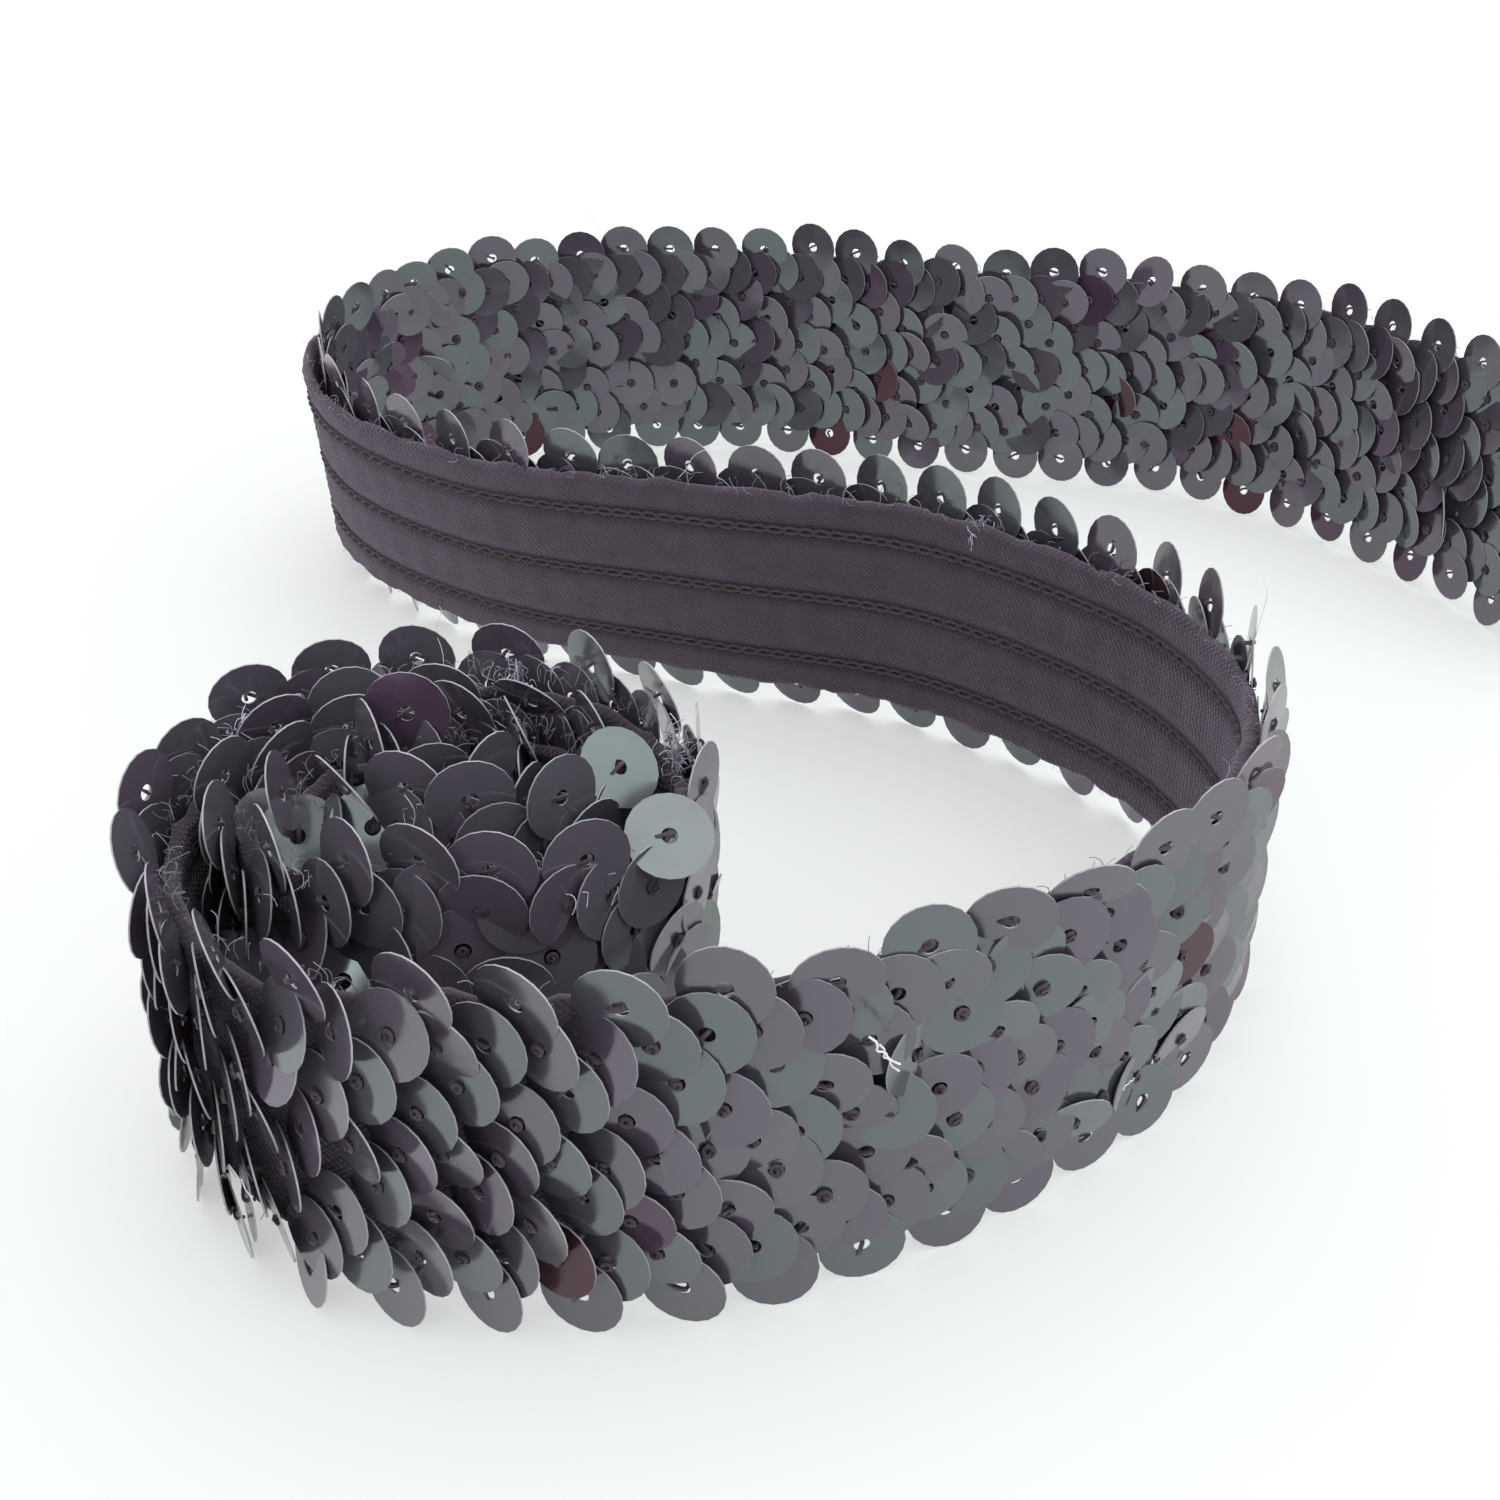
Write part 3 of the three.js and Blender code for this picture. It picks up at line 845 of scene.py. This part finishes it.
class OBJECT_OT_trim_stitches(bpy.types.Operator):
    """Ties each sequin with a knotted stitch, and runs chain stitches down the tape's back"""

    bl_idname = "object.trim_stitches"
    bl_label = "Stitches"

    def execute(self, context):
        colour = tuple(settings().tape.thread_colour)
        thread = yarn_material("black sewing thread", colour, 0.25)
        luck = np.random.default_rng(3)
        for kind, route in (("knots", KNOT), ("strands", STRAND)):
            route = [Vector(point) * MM for point in route]
            master = thread_master(kind, route, settings().tape.thread, thread)
            for part, wound in (("loose", False), ("roll", True)):
                rows = [stitch_places(row, wound, kind == "strands", luck) for row in range(3)]
                finished(copied(f"{kind}_{part}", master, *joined(rows), YARN_SHARP), "tape")
            forget(master)
        route = [Vector(point) * MM for point in CHAIN]
        master = thread_master("chain", route, settings().tape.thread, thread)
        step = settings().sequins.step / MM
        s = np.arange(INNER_END + 2, CUT_END - 1, step)
        foot, up, out, along = LINE.at(s)
        turns = np.stack([along, up, -out], axis=1)
        off = -TAPE_THICK / 2 + settings().tape.groove / MM - 0.1
        rows = [
            (turns, (foot + up * middle + out * off) * MM, np.ones((len(s), 3)))
            for middle in GROOVE_HEIGHTS
        ]
        finished(copied("chain_stitches", master, *joined(rows), YARN_SHARP), "tape")
        forget(master)
        return {"FINISHED"}


# The tape

TAPE_STEP = 1.0
TAPE_SHARP = math.radians(75)
FACE_RIBS = 13
FACE_RIB_HEIGHT = 0.15
GROOVE_WIDTH = 1.1  # from a groove's middle to where it has mostly risen
EDGE_WAVE = 8.3  # the tape's edges wave over this length, and err by this share of the ripple
EDGE_ROUGH = 0.35
PUCKER_WAVE = 4.1  # the back puckers between its stitches over this length, to this height
PUCKER = 0.06
FACE_PAINTED_SHADE = 0.6  # the tape's sequin side is painted darker, for its dark thread and as painted shade under the sequins
ROLL_PAINTED_SHADE = 0.45  # painted shade: the tape is painted darker in the roll, for the shade inside it, and changes over this length to each side
ROLL_SHADE_OVER = 10.0
ROLL_SINK = 1.6  # the tape's top edge sits this much lower in the roll


def tape_profile():
    """The tape's section: up its width, off its middle, and how far out of a groove it lies, which
    sets the painted shade of its back's grooves; its sequin side takes the painted shade share.
    """
    tape = settings().tape
    ribs = round((TAPE_HIGH - TAPE_LOW) * MM / tape.rib)
    high = np.linspace(TAPE_LOW, TAPE_HIGH, 2 * ribs + 1)
    rib = np.where(np.arange(len(high)) % 2, tape.rib_height / MM, 0.0)
    nearest = np.min(np.abs(high[:, None] - np.array(GROOVE_HEIGHTS)), axis=1)
    dip = np.exp(-((nearest / GROOVE_WIDTH) ** 2))
    back = -TAPE_THICK / 2 + 0.1 - rib * (1 - dip) + (tape.groove / MM) * dip
    back[[0, -1]] = -TAPE_THICK / 4
    face_high = np.linspace(TAPE_HIGH, TAPE_LOW, 2 * FACE_RIBS + 1)
    low_face = TAPE_THICK / 2 - FACE_RIB_HEIGHT
    face = np.where(np.arange(len(face_high)) % 2, TAPE_THICK / 2, low_face)
    face[[0, -1]] = TAPE_THICK / 4
    return (
        np.concatenate([high, face_high]),
        np.concatenate([back, face]),
        np.concatenate([1 - dip, np.full(len(face_high), FACE_PAINTED_SHADE)]),
    )


class OBJECT_OT_trim_tape(bpy.types.Operator):
    """Weaves the ribbed elastic tape as one closed ribbon from the roll's eye to the cut end"""

    bl_idname = "object.trim_tape"
    bl_label = "Elastic tape"

    def execute(self, context):
        high, off, clear = tape_profile()
        count = len(high)
        s = np.linspace(INNER_END, CUT_END, round((CUT_END - INNER_END) / TAPE_STEP) + 1)
        foot, up, out, _ = LINE.at(s)
        luck = np.random.default_rng(5)
        ripple = settings().tape.ripple / MM
        middle = (TAPE_LOW + TAPE_HIGH) / 2
        edge = np.abs(high - middle) / (middle - TAPE_LOW)
        waves = np.sin(s * 2 * math.pi / EDGE_WAVE)[:, None] * np.sign(high - middle) * 0.5
        rough = luck.normal(0, EDGE_ROUGH, (len(s), 1)) * np.sign(high - middle)
        heights = high + (waves + rough) * ripple * edge**6
        sink = np.interp(s, (-ROLL_SHADE_OVER, 0.0), (ROLL_SINK, 0.0))[:, None]
        heights -= sink * np.maximum(high - middle, 0.0) / (TAPE_HIGH - middle)
        pucker = np.sin(s * 2 * math.pi / PUCKER_WAVE + 0.6)[:, None] * PUCKER * clear
        offs = off + pucker
        points = foot[:, None, :] + up[:, None, :] * heights[:, :, None]
        points = points + out[:, None, :] * offs[:, :, None]
        rings = np.arange(len(s) - 1)[:, None] * count
        here = np.arange(count)
        there = (here + 1) % count
        faces = np.stack(
            [rings + here, rings + count + here, rings + count + there, rings + there], axis=-1
        ).reshape(-1, 4)
        caps = [tuple(range(count)), tuple(reversed(range((len(s) - 1) * count, len(s) * count)))]
        mesh = bpy.data.meshes.new("elastic_tape_woven")
        mesh.from_pydata((points.reshape(-1, 3) * MM).tolist(), [], faces.tolist() + caps)
        layer = mesh.uv_layers.new(name="cloth")
        flat = np.stack([np.repeat(s, count), np.tile(high, len(s))], axis=1)
        corner = read(mesh.loops, "vertex_index", 1, np.int32)
        layer.data.foreach_set("uv", flat[corner].astype(np.float32).ravel())
        # Painted shade: the tape is painted darker inside the roll.
        shade = np.interp(s, (-ROLL_SHADE_OVER, ROLL_SHADE_OVER), (ROLL_PAINTED_SHADE, 1.0))
        mark(mesh, "tint", np.repeat((shade[:, None] * clear).reshape(-1, 1), 3, axis=1))
        mesh.materials.append(tape_material())
        tape = bpy.data.objects.new("elastic_tape_woven", mesh)
        context.collection.objects.link(tape)
        deselect()
        tape.select_set(True)
        context.view_layer.objects.active = tape
        bpy.ops.object.mode_set(mode="EDIT")
        bpy.ops.mesh.select_all(action="SELECT")
        bpy.ops.mesh.normals_make_consistent(inside=False)
        bpy.ops.object.mode_set(mode="OBJECT")
        bpy.ops.object.shade_smooth_by_angle(angle=TAPE_SHARP)
        finished(tape, "tape", "elastic_tape", "wound_roll")
        return {"FINISHED"}


# The loose fibres

# Three curls of broken yarn, in millimetres: along the edge, out of it, and off the tape.
CURLS = (
    ((0.0, -0.3, 0.0), (0.2, 0.5, 0.2), (0.7, 1.0, 0.5), (1.2, 1.0, 0.3)),
    ((0.0, -0.3, 0.0), (-0.3, 0.6, -0.2), (0.1, 1.3, -0.5), (0.7, 1.6, -0.2)),
    ((0.0, -0.3, 0.0), (0.4, 0.3, 0.3), (0.1, 0.9, 0.6), (-0.5, 0.8, 0.2)),
)
# Tufts of fibres rubbed out of the yarn: distance along the trim, height, width, and how many.
TUFTS = (
    (-43.0, 28.0, 5.0, 110),
    (-39.0, 25.0, 4.0, 60),
    (-54.0, 27.5, 3.0, 40),
    (-65.0, 27.5, 3.0, 40),
    (-83.0, 27.5, 3.0, 40),
    (-104.0, 27.0, 2.5, 30),
    (-127.0, 27.0, 2.5, 30),
    (-154.0, 27.0, 2.5, 30),
    (-168.0, 27.0, 2.5, 36),
    (-200.0, 27.0, 2.5, 30),
    (118.0, 27.5, 2.0, 20),
    (236.0, 27.5, 2.0, 20),
)
TUFT_PAINTED_SHEEN = 2.6  # painted sheen: the tufts' fibres are painted this much paler than the rest, for the light fine fuzz catches
EDGE_FIBRE_SHADE = 0.8
ROLL_FIBRES = 0.45  # share of the other fibres that are in the roll
TOP_FIBRES = 0.65  # share of them that are on the tape's top edge


def fibre_places(luck, kinds):
    """Distance, height, distance off the tape and shade of every loose fibre, the tufts' with their
    painted sheen.
    """
    total = settings().tape.fibres // kinds
    s = np.where(
        luck.random(total) < ROLL_FIBRES,
        luck.uniform(INNER_END + 1, 0, total),
        luck.uniform(0, CUT_END - 0.5, total),
    )
    high = np.where(luck.random(total) < TOP_FIBRES, TAPE_HIGH - 0.2, TAPE_LOW + 0.2)
    parts = [(s, high, luck.uniform(-0.5, 0.5, total), np.full(total, EDGE_FIBRE_SHADE))]
    for middle, height, width, fibres in TUFTS:
        count = max(2, fibres // kinds)
        parts.append(
            (
                luck.normal(middle, width / 2, count),
                height - np.abs(luck.normal(0, width / 3, count)),
                luck.normal(0.5, 1.1, count),
                np.full(count, TUFT_PAINTED_SHEEN),
            )
        )
    return joined(parts)


class OBJECT_OT_trim_fibres(bpy.types.Operator):
    """Frays the tape's edges with short curled fibres, in tufts where the roll has rubbed them"""

    bl_idname = "object.trim_fibres"
    bl_label = "Loose fibres"

    def execute(self, context):
        colour = tuple(settings().tape.fibre_colour)
        material = yarn_material("loose fibre", colour, 0.6)
        luck = np.random.default_rng(11)
        for index, curl in enumerate(CURLS):
            route = [Vector(point) * MM for point in curl]
            master = thread_master("fibre", route, settings().tape.fibre, material)
            s, high, off, shade = fibre_places(luck, len(CURLS))
            count = len(s)
            foot, up, out, along = LINE.at(s)
            way = np.where(high > (TAPE_LOW + TAPE_HIGH) / 2, 1.0, -1.0)[:, None]
            turn = luck.uniform(0, 2 * math.pi, count)[:, None]
            tip = luck.normal(0, 0.5, count)[:, None]
            size = luck.uniform(0.5, 1.2, count)[:, None] * np.where(way > 0, 1.0, 0.7)
            level = along * np.cos(turn) + out * np.sin(turn)
            side = np.cross(level, up * way)
            rise = up * way * np.cos(tip) + side * np.sin(tip)
            side = np.cross(level, rise)
            place = (foot + up * high[:, None] + out * off[:, None]) * MM
            turns = np.stack([level * size, rise * size, side * size], axis=1)
            tints = np.repeat((shade * luck.uniform(0.6, 1.2, count))[:, None], 3, axis=1)
            name = f"loose_fibres_{index}"
            finished(copied(name, master, turns, place, tints, YARN_SHARP), "tape")
            forget(master)
        return {"FINISHED"}


# Ends of pale thread caught on the sequins, and long stray hairs along the tape's top edge:
# distance along the trim, height, distance off the tape, turn in degrees and size.
ENDS = (
    (28.2, 24.4, 3.4, 290, 1.35),
    (28.9, 23.6, 3.5, 280, 1.1),
    (52.0, 8.8, 3.2, 160, 0.7),
    (-46.0, 29.5, 2.0, 100, 0.9),
    (-12.0, 11.0, 3.4, 300, 0.8),
)
HAIRS = (
    (82.0, 28.0, 0.6, 62, 1.0),
    (150.0, 28.0, 0.4, 110, 0.7),
    (262.0, 28.0, 0.5, 75, 0.8),
    (-60.0, 28.0, 0.4, 70, 0.7),
)
# One of each in millimetres, and how many times thicker than a loose fibre it is: the end is a
# kinked curl that lies on the plastic.
END_THICK = 1.9
HAIR_THICK = 1.2
CURLED_END = (
    (0.0, 0.0, 0.0),
    (0.5, 0.35, 0.25),
    (1.0, -0.05, 0.15),
    (1.2, 0.45, 0.3),
    (1.9, 0.35, 0.2),
    (2.3, 0.8, 0.5),
)
HAIR = (
    (0.0, -0.3, 0.0),
    (1.8, 0.5, 0.3),
    (3.6, 0.4, 0.9),
    (5.2, 1.3, 1.2),
    (6.4, 2.6, 1.1),
    (7.0, 2.4, 0.8),
)


class OBJECT_OT_trim_ends(bpy.types.Operator):
    """Leaves a few pale thread ends on the sequins and long stray hairs on the tape's top edge"""

    bl_idname = "object.trim_ends"
    bl_label = "Thread ends"

    def execute(self, context):
        tape = settings().tape
        material = yarn_material("pale thread end", tuple(tape.end_colour), 0.3)
        kinds = (
            ("thread_ends", CURLED_END, ENDS, END_THICK * tape.fibre),
            ("stray_hairs", HAIR, HAIRS, HAIR_THICK * tape.fibre),
        )
        for name, shape, table, radius in kinds:
            master = thread_master(name, [Vector(point) * MM for point in shape], radius, material)
            s, high, off, turn, size = (np.array(values)[:, None] for values in zip(*table))
            foot, up, out, along = LINE.at(s[:, 0])
            turn = np.radians(turn)
            right = along * np.cos(turn) + up * np.sin(turn)
            above = np.cross(out, right)
            place = (foot + up * high + out * off) * MM
            turns = np.stack([right * size, above * size, out * size], axis=1)
            tints = np.ones((len(table), 3))
            finished(copied(name, master, turns, place, tints, YARN_SHARP), "tape")
            forget(master)
        return {"FINISHED"}


# The stage

# The soft lights: name, place, what they face, size in metres, watts and colour.
LIGHTS = (
    ("window", (0.15, 0.35, 1.0), (0.0, 0.0, 0.0), 1.4, 9.0, (1.0, 1.0, 1.0)),
    ("front fill", (-0.45, -0.70, 0.55), (0.0, -0.03, 0.02), 0.5, 2.0, (1.0, 1.0, 1.0)),
    ("right wall", (0.85, -0.55, 0.5), (0.02, -0.04, 0.016), 1.2, 5.0, (0.84, 1.0, 0.95)),
)
ROOM_COLOUR = (0.98, 0.985, 1.0, 1.0)
# The paper is lit from behind too, which softens the shadows: the share of its shade that it
# reflects, and how strongly it glows.
FLOOR_DULL = 0.40
FLOOR_GLOW = 0.53


def soft_light(name, place, aim, size, strength, colour):
    """A square soft light that faces a point, its strength in watts."""
    deselect()
    bpy.ops.object.light_add(type="AREA", location=place)
    light = bpy.context.object
    light.name = name
    light.data.size = size
    light.data.energy = strength
    light.data.color = colour
    way = Vector(aim) - Vector(place)
    light.rotation_euler = way.to_track_quat("-Z", "Y").to_euler()


class OBJECT_OT_trim_stage(bpy.types.Operator):
    """Sets the pale floor, the soft lights and the camera"""

    bl_idname = "object.trim_stage"
    bl_label = "Stage"

    def execute(self, context):
        stage = settings().stage
        deselect()
        bpy.ops.mesh.primitive_plane_add(size=6.0, location=(0.0, 0.0, 0.0))
        floor = context.object
        floor.name = "floor"
        material, nodes, shader = new_material("pale paper")
        colour = tuple(stage.floor_colour)
        dull = tuple(c * FLOOR_DULL for c in colour)
        grain = nodes.noise(nodes.place(), 30.0, 2.0)
        paper = {
            "Base Color": nodes.mix(grain, dull, tuple(c * 0.97 for c in dull)),
            "Emission Color": (*colour, 1.0),
            "Emission Strength": FLOOR_GLOW,
            "Roughness": 0.9,
            "Specular IOR Level": 0.1,
        }
        nodes.give(shader, paper)
        floor.data.materials.append(material)

        world = context.scene.world or bpy.data.worlds.new("room")
        context.scene.world = world
        world.use_nodes = True
        room = world.node_tree.nodes["Background"]
        room.inputs["Color"].default_value = ROOM_COLOUR
        room.inputs["Strength"].default_value = stage.room
        for light in LIGHTS:
            soft_light(*light)

        bpy.ops.object.camera_add(location=stage.camera_place)
        camera = context.object
        camera.name = "camera"
        camera.rotation_euler = (math.pi / 2 - stage.camera_down, 0.0, 0.0)
        camera.data.lens = stage.lens
        camera.data.sensor_width = 36.0
        camera.data.clip_start = 0.005
        context.scene.camera = camera
        context.scene.view_settings.view_transform = "Standard"
        return {"FINISHED"}


class SequinTrim(bpy.types.PropertyGroup):
    """All that a user would change."""

    sequins: bpy.props.PointerProperty(
        type=TrimSequinSettings, name="Sequins", description="The sequins"
    )
    tape: bpy.props.PointerProperty(type=TrimTapeSettings, name="Tape", description="The tape")
    stage: bpy.props.PointerProperty(type=TrimStageSettings, name="Stage", description="The stage")


STEPS = (
    OBJECT_OT_trim_tape,
    OBJECT_OT_trim_sequins,
    OBJECT_OT_trim_stitches,
    OBJECT_OT_trim_fibres,
    OBJECT_OT_trim_ends,
    OBJECT_OT_trim_stage,
)


class VIEW3D_PT_sequin_trim(bpy.types.Panel):
    """The steps that build the trim, in order"""

    bl_label = "Sequin trim"
    bl_idname = "VIEW3D_PT_sequin_trim"
    bl_space_type = "VIEW_3D"
    bl_region_type = "UI"
    bl_category = "Sequin trim"

    def draw(self, context):
        for step in STEPS:
            self.layout.operator(step.bl_idname)
        trim = context.scene.sequin_trim
        for group in (trim.sequins, trim.tape, trim.stage):
            box = self.layout.box()
            for name in group.bl_rna.properties.keys():
                if name not in {"rna_type", "name"}:
                    box.prop(group, name)


CLASSES = (
    TrimSequinSettings,
    TrimTapeSettings,
    TrimStageSettings,
    SequinTrim,
    *STEPS,
    VIEW3D_PT_sequin_trim,
)


def register():
    """Adds the classes and the scene's settings."""
    for kind in CLASSES:
        bpy.utils.register_class(kind)
    bpy.types.Scene.sequin_trim = bpy.props.PointerProperty(type=SequinTrim)


def unregister():
    """Takes them away again."""
    del bpy.types.Scene.sequin_trim
    for kind in reversed(CLASSES):
        bpy.utils.unregister_class(kind)


def main():
    """Builds the trim."""
    register()
    bpy.ops.object.trim_tape()
    bpy.ops.object.trim_sequins()
    bpy.ops.object.trim_stitches()
    bpy.ops.object.trim_fibres()
    bpy.ops.object.trim_ends()
    bpy.ops.object.trim_stage()


if __name__ == "__main__":
    main()
